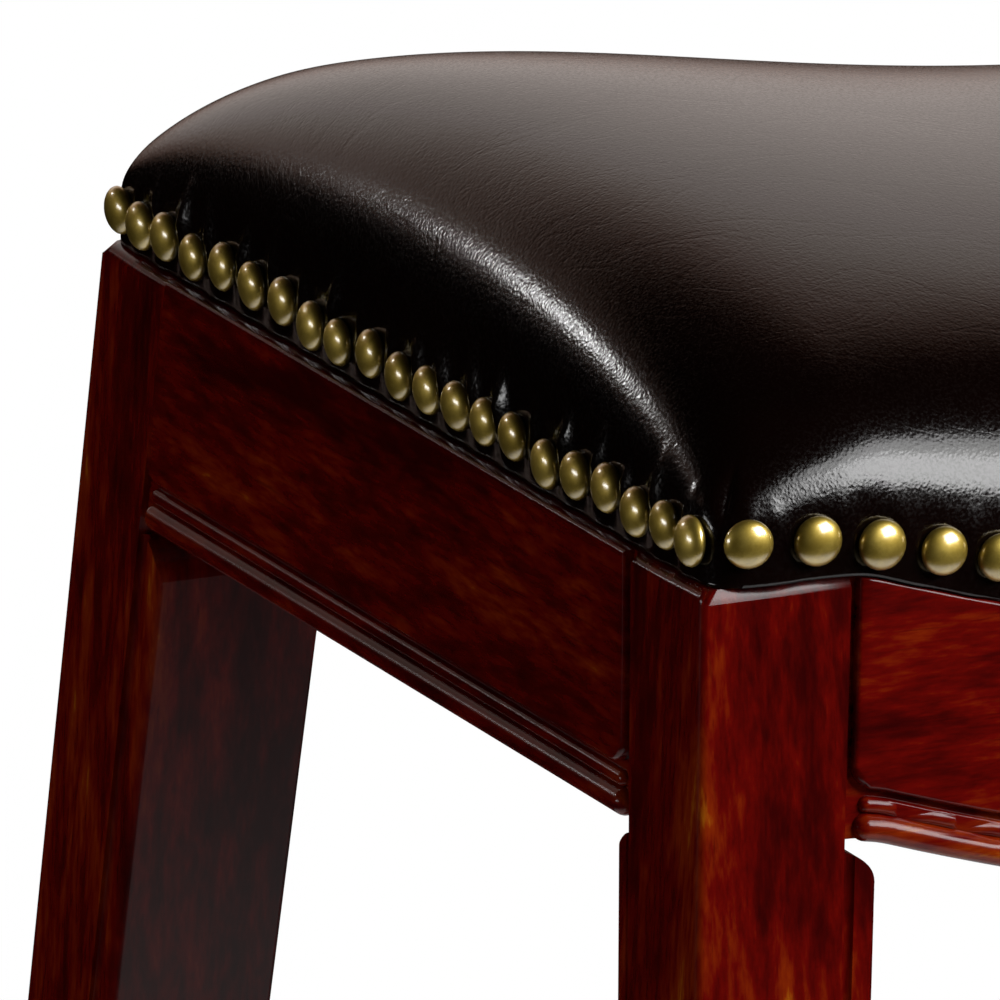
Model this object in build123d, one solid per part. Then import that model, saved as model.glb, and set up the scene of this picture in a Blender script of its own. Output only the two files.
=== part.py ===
"""Backless bar stool with a saddle seat: splayed wooden base, upholstered seat and a row of nails.

Millimetres, +Z up, origin on the floor under the middle of the seat. X runs along the seat's
long side, and the front is the long side at -Y. Left is -X.
"""
import os
from math import asin, atan, cos, degrees, pi, radians, sin, sqrt, tan

from build123d import *

os.makedirs("parts", exist_ok=True)

# Base, driving sizes
frame_length = 480.0          # over the outer corners of the legs at their tops, along X
frame_depth = 310.0           # the same along Y
leg_top_height = 677.0        # floor to the tops of the legs
leg_splay_x = 41.5            # how far each foot stands out past the leg's top, along X
leg_splay_y = 70.0            # the same along Y
overrun = 6.0                 # extra length of every cutting tool

# Legs: a square post with a set-back bead down each inner edge below the aprons
leg_top_width = 44.0
leg_foot_width = 32.5
post_width = 35.0             # what is left of the leg between the aprons
leg_corner_round = 2.0
cove_width = 3.2
cove_depth = 2.2
bead_setback = 1.0
bead_round = 2.6
leg_inner_round = 1.5
leg_top_chamfer = 2.4
shoulder_height = 9.5         # height of the rounded top end of the beads
shoulder_drop = 1.6           # the beads start this far under the aprons

# Saddle line of the seat and of the two long aprons
saddle_flat = 31.0            # level length at each end, from the outer corner
saddle_turn_radius = 38.0
saddle_angle = 18.3           # steepest slope, in degrees

# Aprons: a board with a raised panel and two beads under it
apron_thickness = 20.0        # behind the recessed ground
apron_height = 58.0
apron_ground = 1.6            # the ground lies this far inside the leg's outer face
panel_proud = 1.2             # the panel stands this far outside the leg's outer face
panel_height = 46.0
panel_end_gap = 1.6
panel_corner_round = 5.0
panel_arris = 0.9
upper_bead_radius = 1.9
upper_bead_level = 49.7
upper_bead_proud = 0.2
lower_bead_radius = 3.1
lower_bead_level = 54.6
lower_bead_proud = 1.3
bead_end_gap = 5.5
apron_lip = 1.0               # the board stops this far above the lowest bead
apron_middle = apron_ground + apron_thickness / 2

# Dowels between the aprons and the legs
dowel_radius = 4.0
dowel_length = 34.0
dowel_shares = (0.31, 0.69)   # their places down the apron, of its height
dowel_clearance = 0.1
dowel_end_clearance = 0.6

# Stretchers, tenoned into the legs
long_stretcher_height = 190.0
short_stretcher_height = 255.0
stretcher_thickness = 20.0
stretcher_height = 36.0
stretcher_round = 4.0
tenon_length = 16.0
tenon_thickness = 9.0
tenon_height = 24.0
tenon_clearance = 0.1
mortise_end_clearance = 1.0

# Glides under the feet
glide_radius = 10.5
glide_thickness = 4.0
glide_edge_round = 1.2
glide_pin_radius = 1.4
glide_pin_length = 14.0
glide_pin_clearance = 0.1

# Corner blocks behind the legs
block_leg_gap = 2.0           # between the block and the leg's inner corner
block_reach = 62.0            # along each apron, from the apron's own corner
block_tip = 8.0
block_height = 22.0
block_level = 15.0            # its top, below the tops of the legs
block_fit = 0.3

# Screws: two in each block, and one up into the seat
screw_radius = 2.0
screw_head_radius = 4.0
screw_head_height = 2.2
screw_clearance = 0.1
screw_counterbore = 6.0
apron_screw_bite = 12.0
seat_screw_bite = 9.0
seat_screw_offset = 46.0      # from the outer planes at the block's corner

# Seat: a bent board, a pad and a cover
soft_gap = 0.3                # round each soft piece
cover_thickness = 1.2
seat_inset_x = 2.0            # the cover's side lies inside the legs' ends
seat_overhang_y = 2.0         # and outside their long faces
seat_corner_round = 10.0
seat_corner_slack = 0.05      # keeps the rounding tool off the flat sides
board_thickness = 12.0
hem_width = 24.0
crown_height = 71.3           # of the pad's middle over the nail line
saddle_rise = 34.1            # how much lower the cover's crown is at mid length
saddle_power = 1.28
end_power = 9.7               # how full the ends are
end_root = 0.5
pad_wall = 0.8                # upright side of the pad, over the board
pad_end_rise = 0.7            # the pad's middle over that wall, at the very ends
shoulder_share = 0.28         # radius of the long edges, of the pad's rise over its wall
# places of the cover's sections from its end, of half its length
station_shares = (0.0, 0.0105, 0.0294, 0.067, 0.134, 0.244, 0.403, 0.63, 0.84)

# Dust cloth under the seat
cloth_thickness = 0.6
cloth_margin = 4.5            # inside the aprons
cloth_corner_gap = 4.0        # from the legs' inner corners

# Nails round the cover's lower edge
nail_line = 9.6               # over the tops of the legs and aprons
nail_head_radius = 5.4
nail_head_height = 3.2
nail_head_sides = 10
nail_head_shares = ((0.0, 1.0), (0.52, 0.87), (0.88, 0.52))   # of its height and radius
nail_tip_share = 0.3
nail_shank_width = 1.8
nail_shank_length = 8.0
nail_hole_clearance = 0.15
nails_short_side = 21
nails_long_side = 32
nail_corner_gap_x = 8.5       # from the cover's end to the first nail of a long side
nail_corner_gap_y = 7.0       # from the cover's long side to the first nail of a short side

lean_x = degrees(atan(leg_splay_x / leg_top_height))
lean_y = degrees(atan(leg_splay_y / leg_top_height))


# The upright plane that swaps X and Y
diagonal = Plane((0, 0, 0), x_dir=(1, 1, 0), z_dir=(1, -1, 0))


# Lines of the leaning legs at a height over the floor

def outer_x(z):
    return frame_length / 2 + leg_splay_x * (1 - z / leg_top_height)


def outer_y(z):
    return frame_depth / 2 + leg_splay_y * (1 - z / leg_top_height)


def leg_width(z):
    return leg_foot_width + (leg_top_width - leg_foot_width) * z / leg_top_height


def leg_scale(z):
    return leg_width(z) / leg_top_width


def post_x(z):
    return outer_x(z) - post_width * leg_scale(z)


def post_y(z):
    return outer_y(z) - post_width * leg_scale(z)


def inner_x(z):
    return outer_x(z) - leg_width(z)


def inner_y(z):
    return outer_y(z) - leg_width(z)


def four_ways(part):
    """The front left piece and its three mirror images, by the names of the corners."""
    back_left = mirror(part, about=Plane.XZ)
    return {
        "front_left": part,
        "front_right": mirror(part, about=Plane.YZ),
        "back_left": back_left,
        "back_right": mirror(back_left, about=Plane.YZ),
    }


def save(shape, node):
    shape.label = node
    export_step(shape, "parts/" + node + ".step")


def group(shapes):
    return Compound(children=list(shapes))


# Saddle line

turn = radians(saddle_angle)
turn_start = frame_length / 2 - saddle_flat
turn_end = turn_start - saddle_turn_radius * sin(turn)
turn_drop = saddle_turn_radius * (1 - cos(turn))
sweep_radius = turn_end / sin(turn)
sweep_drop = sweep_radius * (1 - cos(turn))


def saddle_z(x):
    """Height of the saddle line against its level ends."""
    x = abs(x)
    if x >= turn_start:
        return 0.0
    if x >= turn_end:
        return sqrt(saddle_turn_radius ** 2 - (turn_start - x) ** 2) - saddle_turn_radius
    return sweep_radius - sqrt(sweep_radius ** 2 - x ** 2) - turn_drop - sweep_drop


def saddle_edges(half, level):
    """The saddle line from x=-half to x=half as tangent lines and arcs in the XZ plane."""
    def at(x):
        return (x, 0, level + saddle_z(x))

    start = min(half, turn_start)
    middle = (start + turn_end) / 2
    edges = [
        ThreePointArc(at(-start), at(-middle), at(-turn_end)),
        ThreePointArc(at(-turn_end), at(0), at(turn_end)),
        ThreePointArc(at(turn_end), at(middle), at(start)),
    ]
    if half > start:
        edges = [Line(at(-half), at(-start))] + edges + [Line(at(start), at(half))]
    return edges


def line_edges(half, level):
    return [Line((-half, 0, level), (half, 0, level))]


def band(edges_of, top, bottom, half_top, half_bottom):
    """The face between two copies of a line, with straight ends."""
    upper = edges_of(half_top, top)
    lower = edges_of(half_bottom, bottom)
    ends = [Line(upper[-1] @ 1, lower[-1] @ 1), Line(lower[0] @ 0, upper[0] @ 0)]
    return make_face(upper + ends + lower)


# Legs

def leg_section(z, cut):
    """Outline of the front left leg at one height, with a cut along its two outer sides."""
    k = leg_scale(z)
    wide = leg_top_width
    cove_end = post_width + cove_width
    cove_mid = post_width + cove_width / 2
    side = [
        Line((cut + leg_corner_round, cut), (post_width, cut)),
        ThreePointArc((post_width, cut), (cove_mid, cove_depth), (cove_end, bead_setback)),
        Line((cove_end, bead_setback), (wide - bead_round, bead_setback)),
        RadiusArc((wide - bead_round, bead_setback), (wide, bead_setback + bead_round), -bead_round),
        Line((wide, bead_setback + bead_round), (wide, wide - leg_inner_round)),
    ]
    other = [mirror(edge, about=diagonal) for edge in side]
    inner = RadiusArc((wide, wide - leg_inner_round), (wide - leg_inner_round, wide), -leg_inner_round)
    tip = cut + leg_corner_round
    corner = RadiusArc((cut, tip), (tip, cut), -leg_corner_round)
    face = make_face(side + [inner] + other + [corner])
    return Pos(-outer_x(z), -outer_y(z), z) * scale(face, by=k)


def shoulder_cutter(post_at, inner_at):
    """Takes the bead inside the post away beside the apron, down to a rounded shoulder (seen along Y)."""
    top = leg_top_height + overrun
    start = leg_top_height - apron_height - shoulder_drop
    end = start - shoulder_height
    begin = (-post_at(start), 0, start)
    finish = (-inner_at(end), 0, end)
    half_turn = sin(pi / 4)
    middle = (begin[0] + (finish[0] - begin[0]) * half_turn, 0, end + shoulder_height * half_turn)
    beyond = overrun - inner_at(top)
    outline = [
        Line((-post_at(top), 0, top), begin),
        ThreePointArc(begin, middle, finish),
        Line(finish, (beyond, 0, end)),
        Line((beyond, 0, end), (beyond, 0, top)),
        Line((beyond, 0, top), (-post_at(top), 0, top)),
    ]
    reach = frame_length + leg_splay_x
    return Pos(0, -reach, 0) * extrude(make_face(outline), amount=reach, dir=(0, 1, 0))


def dowel_places():
    """Centre and direction of each dowel at the front left leg."""
    places = []
    for share in dowel_shares:
        z = leg_top_height - share * apron_height
        places.append(((-post_x(z), apron_middle - outer_y(z), z), "x"))
        places.append(((apron_middle - outer_x(z), -post_y(z), z), "y"))
    return places


def rod(centre, along, radius, length):
    turn_to = {"x": Rot(Y=90), "y": Rot(X=90), "z": Rot()}[along]
    return Pos(*centre) * turn_to * Cylinder(radius, length)


def dowel_holes():
    radius = dowel_radius + dowel_clearance
    length = dowel_length + 2 * dowel_end_clearance
    return [rod(centre, along, radius, length) for centre, along in dowel_places()]


def tenon(height, along, grow, extra):
    """Tenon of the stretcher at the front left leg, or its mortise when it grows."""
    thick = tenon_thickness + 2 * grow
    tall = tenon_height + 2 * grow
    root = stretcher_round + overrun
    length = tenon_length + root + extra
    if along == "x":
        face = -inner_x(height)
        centre = (face + root - length / 2, -outer_y(height) + leg_width(height) / 2, height)
        return Pos(*centre) * Rot(X=-lean_y) * Box(length, thick, tall)
    face = -inner_y(height)
    centre = (-outer_x(height) + leg_width(height) / 2, face + root - length / 2, height)
    return Pos(*centre) * Rot(Y=lean_x) * Box(thick, length, tall)


def foot_centre():
    z = glide_thickness
    return (-outer_x(z) + leg_width(z) / 2, -outer_y(z) + leg_width(z) / 2)


def make_leg():
    arris = leg_top_height - leg_top_chamfer
    sections = [leg_section(glide_thickness, 0), leg_section(arris, 0), leg_section(leg_top_height, leg_top_chamfer)]
    leg = loft(sections, ruled=True) - shoulder_cutter(post_x, inner_x)
    leg = leg - mirror(shoulder_cutter(post_y, inner_y), about=diagonal)
    leg = leg - dowel_holes()
    leg = leg - tenon(long_stretcher_height, "x", tenon_clearance, mortise_end_clearance)
    leg = leg - tenon(short_stretcher_height, "y", tenon_clearance, mortise_end_clearance)
    x, y = foot_centre()
    bore = glide_pin_length + glide_pin_clearance + overrun
    hole = rod((x, y, glide_thickness - overrun + bore / 2), "z", glide_pin_radius + glide_pin_clearance, bore)
    return leg - hole


# Aprons, each made upright with its outer plane at y=0 and its top at z=0, then leaned

def make_apron(edges_of, half_at, lean):
    """half_at gives half the clear length between the posts at a distance below the tops."""
    slope = tan(radians(lean))
    slant = (0, cos(radians(lean)), sin(radians(lean)))

    def slab(face, near, far):
        start = Pos(0, near, near * slope) * face
        return extrude(start, amount=(far - near) / cos(radians(lean)), dir=slant)

    def bead(level, radius, proud):
        half = half_at(level) - bead_end_gap
        depth = radius - proud
        path = Wire(edges_of(half, -level))
        start = path @ 0
        ring = Plane(origin=start, z_dir=path % 0) * Circle(radius)
        parts = [sweep(ring, path=path)] + [Pos(*(path @ t)) * Sphere(radius) for t in (0, 1)]
        return [Pos(0, depth, depth * slope) * part for part in parts]

    board_bottom = apron_height - apron_lip
    long_half = half_at(board_bottom) + overrun
    board = slab(band(edges_of, 0, -board_bottom, long_half, long_half),
                 apron_ground, apron_ground + apron_thickness)
    face = band(edges_of, 0, -panel_height, half_at(0) - panel_end_gap, half_at(panel_height) - panel_end_gap)
    low = face.vertices().group_by(Axis.X)
    corners = [low[0].sort_by(Axis.Z)[0], low[-1].sort_by(Axis.Z)[0]]
    face = fillet(corners, panel_corner_round)
    panel = slab(face, -panel_proud, apron_ground + apron_lip)
    front = panel.faces().sort_by(Axis.Y)[0]
    panel = chamfer(front.edges(), panel_arris)
    beads = bead(upper_bead_level, upper_bead_radius, upper_bead_proud)
    beads += bead(lower_bead_level, lower_bead_radius, lower_bead_proud)
    apron = board + panel
    for piece in beads:
        apron = apron + piece
    return Rot(X=-lean) * apron


def end_cutters(face_at, reach):
    """What lies past the posts at both ends of an apron or stretcher that runs along X."""
    top = leg_top_height + overrun
    cutters = []
    for side in (-1, 1):
        outline = Polyline(
            (side * face_at(0), 0, 0), (side * face_at(top), 0, top),
            (side * 2 * face_at(0), 0, top), (side * 2 * face_at(0), 0, 0), close=True)
        cutters.append(Pos(0, -reach / 2, 0) * extrude(make_face(outline), amount=reach, dir=(0, 1, 0)))
    return cutters


def make_stretcher(along, height):
    """A rail between two legs with a tenon at each end, at the front or at the left."""
    section = RectangleRounded(stretcher_thickness, stretcher_height, stretcher_round)
    if along == "x":
        length, lean, cutters = 2 * outer_x(0), Rot(X=-lean_y), end_cutters(inner_x, 2 * outer_y(0))
        away = outer_y(height) - leg_width(height) / 2
    else:
        length, lean, cutters = 2 * outer_y(0), Rot(X=-lean_x), end_cutters(inner_y, 2 * outer_x(0))
        away = outer_x(height) - leg_width(height) / 2
    bar = Pos(-length / 2, 0, 0) * extrude(Plane.YZ * section, amount=length)
    bar = Pos(0, -away, height) * lean * bar - cutters
    if along == "y":
        bar = Rot(Z=-90) * bar
    end = tenon(height, along, 0, 0)
    other = mirror(end, about=Plane.YZ if along == "x" else Plane.XZ)
    return bar + end + other


def make_glide():
    pad = Pos(0, 0, glide_thickness / 2) * Cylinder(glide_radius, glide_thickness)
    pad = fillet(pad.edges().sort_by(Axis.Z)[0], glide_edge_round)
    pin_length = glide_pin_length + glide_thickness / 2
    pin = Pos(0, 0, glide_thickness / 2 + pin_length / 2) * Cylinder(glide_pin_radius, pin_length)
    x, y = foot_centre()
    return Pos(x, y, 0) * (pad + pin)


def block_outline(z):
    """Plan of the front left corner block at one height."""
    apron_in = apron_ground + apron_thickness
    near = apron_in + block_fit
    clear = 2 * (post_width * leg_scale(z) + block_leg_gap)
    far = apron_in + block_reach
    points = [(near, clear - near), (near, far), (near + block_tip, far),
              (far, near + block_tip), (far, near), (clear - near, near)]
    return [(a - outer_x(z), b - outer_y(z), z) for a, b in points]


block_top = leg_top_height - block_level
block_bottom = block_top - block_height
block_middle = block_top - block_height / 2


def apron_screw(along, grow, head_room):
    """A screw from the block into one apron, or its hole when it grows."""
    z = block_middle
    apron_in = apron_ground + apron_thickness
    across = apron_in + block_reach - block_tip - 2 * screw_head_radius
    start = apron_in + block_tip + screw_counterbore
    length = start - apron_in + apron_screw_bite
    shank = Pos(0, 0, -length / 2) * Cylinder(screw_radius + grow, length)
    head_height = head_room or screw_head_height
    head = Pos(0, 0, head_height / 2) * Cylinder(screw_head_radius + grow, head_height)
    screw = shank + head
    if along == "y":
        return Pos(across - outer_x(z), start - outer_y(z), z) * Rot(X=-90) * screw
    return Pos(start - outer_x(z), across - outer_y(z), z) * Rot(Y=90) * screw


def seat_screw(grow, end_room):
    x = seat_screw_offset - outer_x(block_middle)
    y = seat_screw_offset - outer_y(block_middle)
    head_low = block_bottom
    tip = leg_top_height + saddle_z(x) + board_level + seat_screw_bite + end_room
    shank = rod((x, y, (head_low + tip) / 2), "z", screw_radius + grow, tip - head_low)
    head = rod((x, y, head_low - screw_head_height / 2), "z", screw_head_radius, screw_head_height)
    return shank if grow else shank + head


# Seat

half_seat_x = frame_length / 2 - seat_inset_x
half_seat_y = frame_depth / 2 + seat_overhang_y
cover_level = soft_gap
hem_top = cover_level + cover_thickness
board_level = hem_top + soft_gap
board_top = board_level + board_thickness
board_inset = cover_thickness + soft_gap


end_top = board_top + pad_wall + cover_thickness + pad_end_rise
start_share = ((end_top - nail_line) / crown_height) ** (1 / end_root)


def crown_z(from_end):
    """Height of the cover's middle line over the tops of the legs."""
    along = 1 - from_end / half_seat_x
    dip = saddle_rise * (1 - along ** 2) ** saddle_power
    full = start_share + (1 - start_share) * (1 - abs(along) ** end_power)
    return nail_line - dip + crown_height * full ** end_root


def pad_section(x, inset):
    """Section across the seat: upright sides, round shoulders and a crown."""
    low = -board_top - saddle_rise
    top = crown_z(half_seat_x - inset - abs(x)) - inset
    half = half_seat_y - inset
    wall_top = saddle_z(x) + board_top + pad_wall + cover_thickness - inset
    rise = top - wall_top
    corner = rise * shoulder_share
    crown = ((half - corner) ** 2 + rise ** 2 - corner ** 2) / (2 * (rise - corner))
    tilt = asin((half - corner) / (crown - corner))
    centre = half - corner

    def at(y, z):
        return (x, y, leg_top_height + z)

    def on_shoulder(side, angle):
        return at(side * (centre + corner * sin(angle)), wall_top + corner * cos(angle))

    bend = (tilt + pi / 2) / 2
    edges = [
        Line(at(-half, low), at(half, low)),
        Line(at(half, low), at(half, wall_top)),
        ThreePointArc(at(half, wall_top), on_shoulder(1, bend), on_shoulder(1, tilt)),
        ThreePointArc(on_shoulder(1, tilt), at(0, top), on_shoulder(-1, tilt)),
        ThreePointArc(on_shoulder(-1, tilt), on_shoulder(-1, bend), at(-half, wall_top)),
        Line(at(-half, wall_top), at(-half, low)),
    ]
    return make_face(edges)


def seat_prism(inset):
    """The seat's plan, upright, to round its four corners."""
    out = seat_corner_slack - inset
    plan = RectangleRounded(2 * (half_seat_x + out), 2 * (half_seat_y + out), seat_corner_round - inset)
    return Pos(0, 0, leg_top_height / 2) * extrude(plan, amount=leg_top_height)


def pad_form(inset, low_level):
    """A crowned form over the whole seat, drawn in at its ends and sides."""
    ends = [inset - half_seat_x * (1 - share) for share in station_shares]
    places = ends + [0.0] + [-x for x in reversed(ends)]
    body = loft([pad_section(x, inset) for x in places])
    return body & saddle_slab(inset, low_level, 2 * crown_height) & seat_prism(inset)


def saddle_slab(inset, low, high):
    """A bent sheet between two levels over the saddle line."""
    half = half_seat_x - inset
    outline = band(saddle_edges, high, low, half, half)
    reach = 2 * half_seat_y
    return Pos(0, -reach / 2, leg_top_height) * extrude(outline, amount=reach, dir=(0, 1, 0))


def make_cover():
    outside = pad_form(0, cover_level)
    inside = pad_form(cover_thickness, hem_top)
    plan = RectangleRounded(2 * (half_seat_x - hem_width), 2 * (half_seat_y - hem_width), seat_corner_round)
    depth = leg_top_height - block_bottom
    mouth = Pos(0, 0, block_bottom) * extrude(plan, amount=depth + board_level)
    return outside - inside - mouth - nail_holes()


def make_pad():
    return pad_form(board_inset, board_top + soft_gap)


def make_board():
    board = saddle_slab(board_inset, board_level, board_top) & seat_prism(board_inset)
    return board - nail_holes() - list(four_ways(seat_screw(screw_clearance, screw_clearance)).values())


def make_cloth():
    reach_x = frame_length / 2 - apron_ground - apron_thickness - cloth_margin
    reach_y = frame_depth / 2 - apron_ground - apron_thickness - cloth_margin
    legs = 2 * (post_width + cloth_corner_gap)
    clip_x = frame_length / 2 + frame_depth / 2 - reach_y - legs
    clip_y = frame_depth / 2 + frame_length / 2 - reach_x - legs
    corner = [(reach_x, clip_y), (clip_x, reach_y)]
    points = corner + [(-x, y) for x, y in reversed(corner)]
    points += [(-x, -y) for x, y in corner] + [(x, -y) for x, y in reversed(corner)]
    plan = make_face(Polyline(*points, close=True))
    prism = extrude(plan, amount=leg_top_height + overrun)
    sheet = saddle_slab(0, -cloth_thickness, 0)
    return (sheet & prism) - list(four_ways(seat_screw(screw_clearance, 0)).values())


# Nails

def nail_places(side):
    """Point on the cover and outward direction of each nail of one side."""
    if side in ("front", "back"):
        half, other, gap, count = half_seat_x, half_seat_y, nail_corner_gap_x, nails_long_side
    else:
        half, other, gap, count = half_seat_y, half_seat_x, nail_corner_gap_y, nails_short_side
    step = 2 * (half - gap) / (count - 1)
    places = []
    for i in range(count):
        along = i * step - (half - gap)
        past = max(abs(along) - (half - seat_corner_round), 0) / seat_corner_round
        lean = asin(past) * (1 if along > 0 else -1)
        away = other - seat_corner_round + seat_corner_round * cos(lean)
        if side in ("front", "back"):
            sign = -1 if side == "front" else 1
            places.append(((along, sign * away), (sin(lean), sign * cos(lean))))
        else:
            sign = -1 if side == "left" else 1
            places.append(((sign * away, along), (sign * cos(lean), sin(lean))))
    return places


def nail_frame(place):
    (x, y), (nx, ny) = place
    z = leg_top_height + saddle_z(x) + nail_line
    return Location(Plane(origin=(x + soft_gap * nx, y + soft_gap * ny, z), x_dir=(-ny, nx, 0), z_dir=(nx, ny, 0)))


def make_nail():
    rings = [Pos(0, 0, nail_head_height * rise) * RegularPolygon(nail_head_radius * wide, nail_head_sides)
             for rise, wide in nail_head_shares]
    head = loft(rings, ruled=True)
    tip = nail_shank_width * nail_tip_share
    shank = loft([Rectangle(nail_shank_width, nail_shank_width),
                  Pos(0, 0, -nail_shank_length) * Rectangle(tip, tip)], ruled=True)
    return head + shank


def nail_holes():
    wide = nail_shank_width + 2 * nail_hole_clearance
    deep = nail_shank_length + 2 * soft_gap
    hole = Pos(0, 0, -deep / 2) * Box(wide, wide, deep + soft_gap)
    return [nail_frame(place) * hole for side in nail_sides for place in nail_places(side)]


nail_sides = ("front", "back", "left", "right")


# The whole stool, saved piece by piece

def build():
    leg = make_leg()
    for corner, piece in four_ways(leg).items():
        save(piece, "leg_" + corner)

    reach = 2 * outer_y(0)
    dowel = [rod(c, along, dowel_radius, dowel_length) for c, along in dowel_places()]
    save(group(p for d in dowel for p in four_ways(d).values()), "apron_dowels")
    holes = dowel_holes() + [apron_screw(along, screw_clearance, 0) for along in ("x", "y")]
    holes = [h for hole in holes for h in four_ways(hole).values()]

    front = make_apron(saddle_edges, lambda level: post_x(leg_top_height - level), lean_y)
    front = Pos(0, -frame_depth / 2, leg_top_height) * front - end_cutters(post_x, reach)
    front = front - holes
    save(front, "apron_front")
    save(mirror(front, about=Plane.XZ), "apron_back")
    left = make_apron(line_edges, lambda level: post_y(leg_top_height - level), lean_x)
    left = Pos(0, -frame_length / 2, leg_top_height) * left - end_cutters(post_y, 2 * outer_x(0))
    left = Rot(Z=-90) * left - holes
    save(left, "apron_left")
    save(mirror(left, about=Plane.YZ), "apron_right")

    front_rail = make_stretcher("x", long_stretcher_height)
    save(front_rail, "stretcher_front")
    save(mirror(front_rail, about=Plane.XZ), "stretcher_back")
    left_rail = make_stretcher("y", short_stretcher_height)
    save(left_rail, "stretcher_left")
    save(mirror(left_rail, about=Plane.YZ), "stretcher_right")

    block = loft([make_face(Polyline(*block_outline(z), close=True)) for z in (block_bottom, block_top)], ruled=True)
    block = block - [apron_screw(along, screw_clearance, block_reach) for along in ("x", "y")]
    block = block - seat_screw(screw_clearance, 0)
    for corner, piece in four_ways(block).items():
        save(piece, "corner_block_" + corner)
    screws = [p for along in ("x", "y") for p in four_ways(apron_screw(along, 0, 0)).values()]
    save(group(screws), "block_screws")
    save(group(four_ways(seat_screw(0, 0)).values()), "seat_screws")

    glide = make_glide()
    save(group(four_ways(glide).values()), "foot_glides")

    save(make_board(), "seat_board")
    save(make_pad(), "foam_pad")
    save(make_cover(), "leather_cover")
    save(make_cloth(), "dust_cloth")
    nail = make_nail()
    for side in nail_sides:
        save(group(nail_frame(place) * nail for place in nail_places(side)), "nails_" + side)


build()
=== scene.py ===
"""A backless bar stool with a saddle seat, dressed for rendering.

Metres, +Z up, origin on the floor under the middle of the seat. X runs along the seat's long
side, the front is at -Y and left is -X. The sizes repeat those of the part's source.
"""

import math
import random

import bmesh
import bpy
from bpy.props import (FloatProperty, FloatVectorProperty, IntProperty, PointerProperty)
from mathutils import Matrix, Vector, noise


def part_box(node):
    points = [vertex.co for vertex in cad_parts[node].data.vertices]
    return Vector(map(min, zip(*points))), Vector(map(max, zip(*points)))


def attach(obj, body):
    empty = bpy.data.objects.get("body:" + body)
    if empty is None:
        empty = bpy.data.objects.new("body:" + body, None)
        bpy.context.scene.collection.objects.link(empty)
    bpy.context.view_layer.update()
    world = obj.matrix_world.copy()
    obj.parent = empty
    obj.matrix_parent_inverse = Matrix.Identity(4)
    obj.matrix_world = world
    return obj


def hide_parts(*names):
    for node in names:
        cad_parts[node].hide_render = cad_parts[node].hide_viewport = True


bl_info = {
    "name": "Saddle bar stool",
    "version": (1, 0, 0),
    "blender": (4, 5, 0),
    "location": "View3D > Sidebar > Bar stool",
    "description": "Dresses a bar stool: leather seat, round nails and lacquered wood",
    "category": "Object",
}

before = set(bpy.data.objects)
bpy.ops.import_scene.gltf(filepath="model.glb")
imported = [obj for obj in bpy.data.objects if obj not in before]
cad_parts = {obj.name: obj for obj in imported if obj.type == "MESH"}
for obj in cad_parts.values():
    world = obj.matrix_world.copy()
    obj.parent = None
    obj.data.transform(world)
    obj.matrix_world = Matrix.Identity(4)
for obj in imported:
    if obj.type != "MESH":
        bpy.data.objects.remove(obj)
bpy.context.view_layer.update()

MM = 0.001
LEG_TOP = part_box("leg_front_left")[1].z
SIDES = ("front", "back", "left", "right")

# Random starts of the nails' strays, one for each row
ROW_CHANCE = {"front": 172782, "back": 15, "left": 39688, "right": 4}


# Sizes and colours that a user may change

def length(name, description, default):
    return FloatProperty(name=name, description=description, default=default, unit="LENGTH", precision=5)


def colour(name, description, default):
    return FloatVectorProperty(name=name, description=description, default=default, subtype="COLOR",
                               size=3, min=0.0, max=1.0)


class SeatSizes(bpy.types.PropertyGroup):
    """The padded seat"""
    half_long: length("Half length", "Middle of the seat to the cover's end", 238 * MM)
    half_wide: length("Half width", "Middle of the seat to the cover's long side", 157 * MM)
    corner: length("Corner", "Radius of the cover's corners in plan", 10 * MM)
    nail_line: length("Nail line", "Height of the nails over the saddle line", 9.1 * MM)
    crown: length("Crown", "Height of the pad over the nail line at its fullest", 70.5 * MM)
    dip: length("Dip", "How much lower the crown is at mid length", 37.7 * MM)
    gap: length("Gap", "Clearance under the cover", 0.3 * MM)
    cover: length("Cover", "Thickness of the leather", 1.2 * MM)
    hem: length("Hem", "Width of the leather turned under the board", 24 * MM)
    board_top: length("Board top", "Top of the seat board over the saddle line", 13.8 * MM)
    press: length("Press", "How far each nail presses the leather in", 0.9 * MM)
    fold: length("Fold", "How far the leather stands out between two nails", 3.3 * MM)
    fold_long: length("Fold height", "How far up a fold between two nails runs", 13 * MM)


class NailSizes(bpy.types.PropertyGroup):
    """The round nails"""
    radius: length("Radius", "Radius of a nail head", 5.45 * MM)
    height: length("Height", "Height of a nail head over its widest ring", 3.0 * MM)
    roll: length("Roll", "How far the rolled rim reaches back from the widest ring", 2.2 * MM)
    stand: length("Stand", "How far the widest ring stands off the cover's side", 0.9 * MM)
    stray: length("Stray", "How far a nail may stray along its row", 1.0 * MM)
    lift: length("Lift", "How far a nail may sit over or under its row", 1.4 * MM)
    crowd: length("Crowd", "How far the short rows are moved towards their ends", 6.0 * MM)
    short_count: IntProperty(name="Short side", description="Nails on a short side", default=21, min=2)
    long_count: IntProperty(name="Long side", description="Nails on a long side", default=32, min=2)
    short_gap: length("Short gap", "Long side to the first nail of a short side", 9.2 * MM)
    long_gap: length("Long gap", "Short side to the first nail of a long side", 8.2 * MM)


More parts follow.
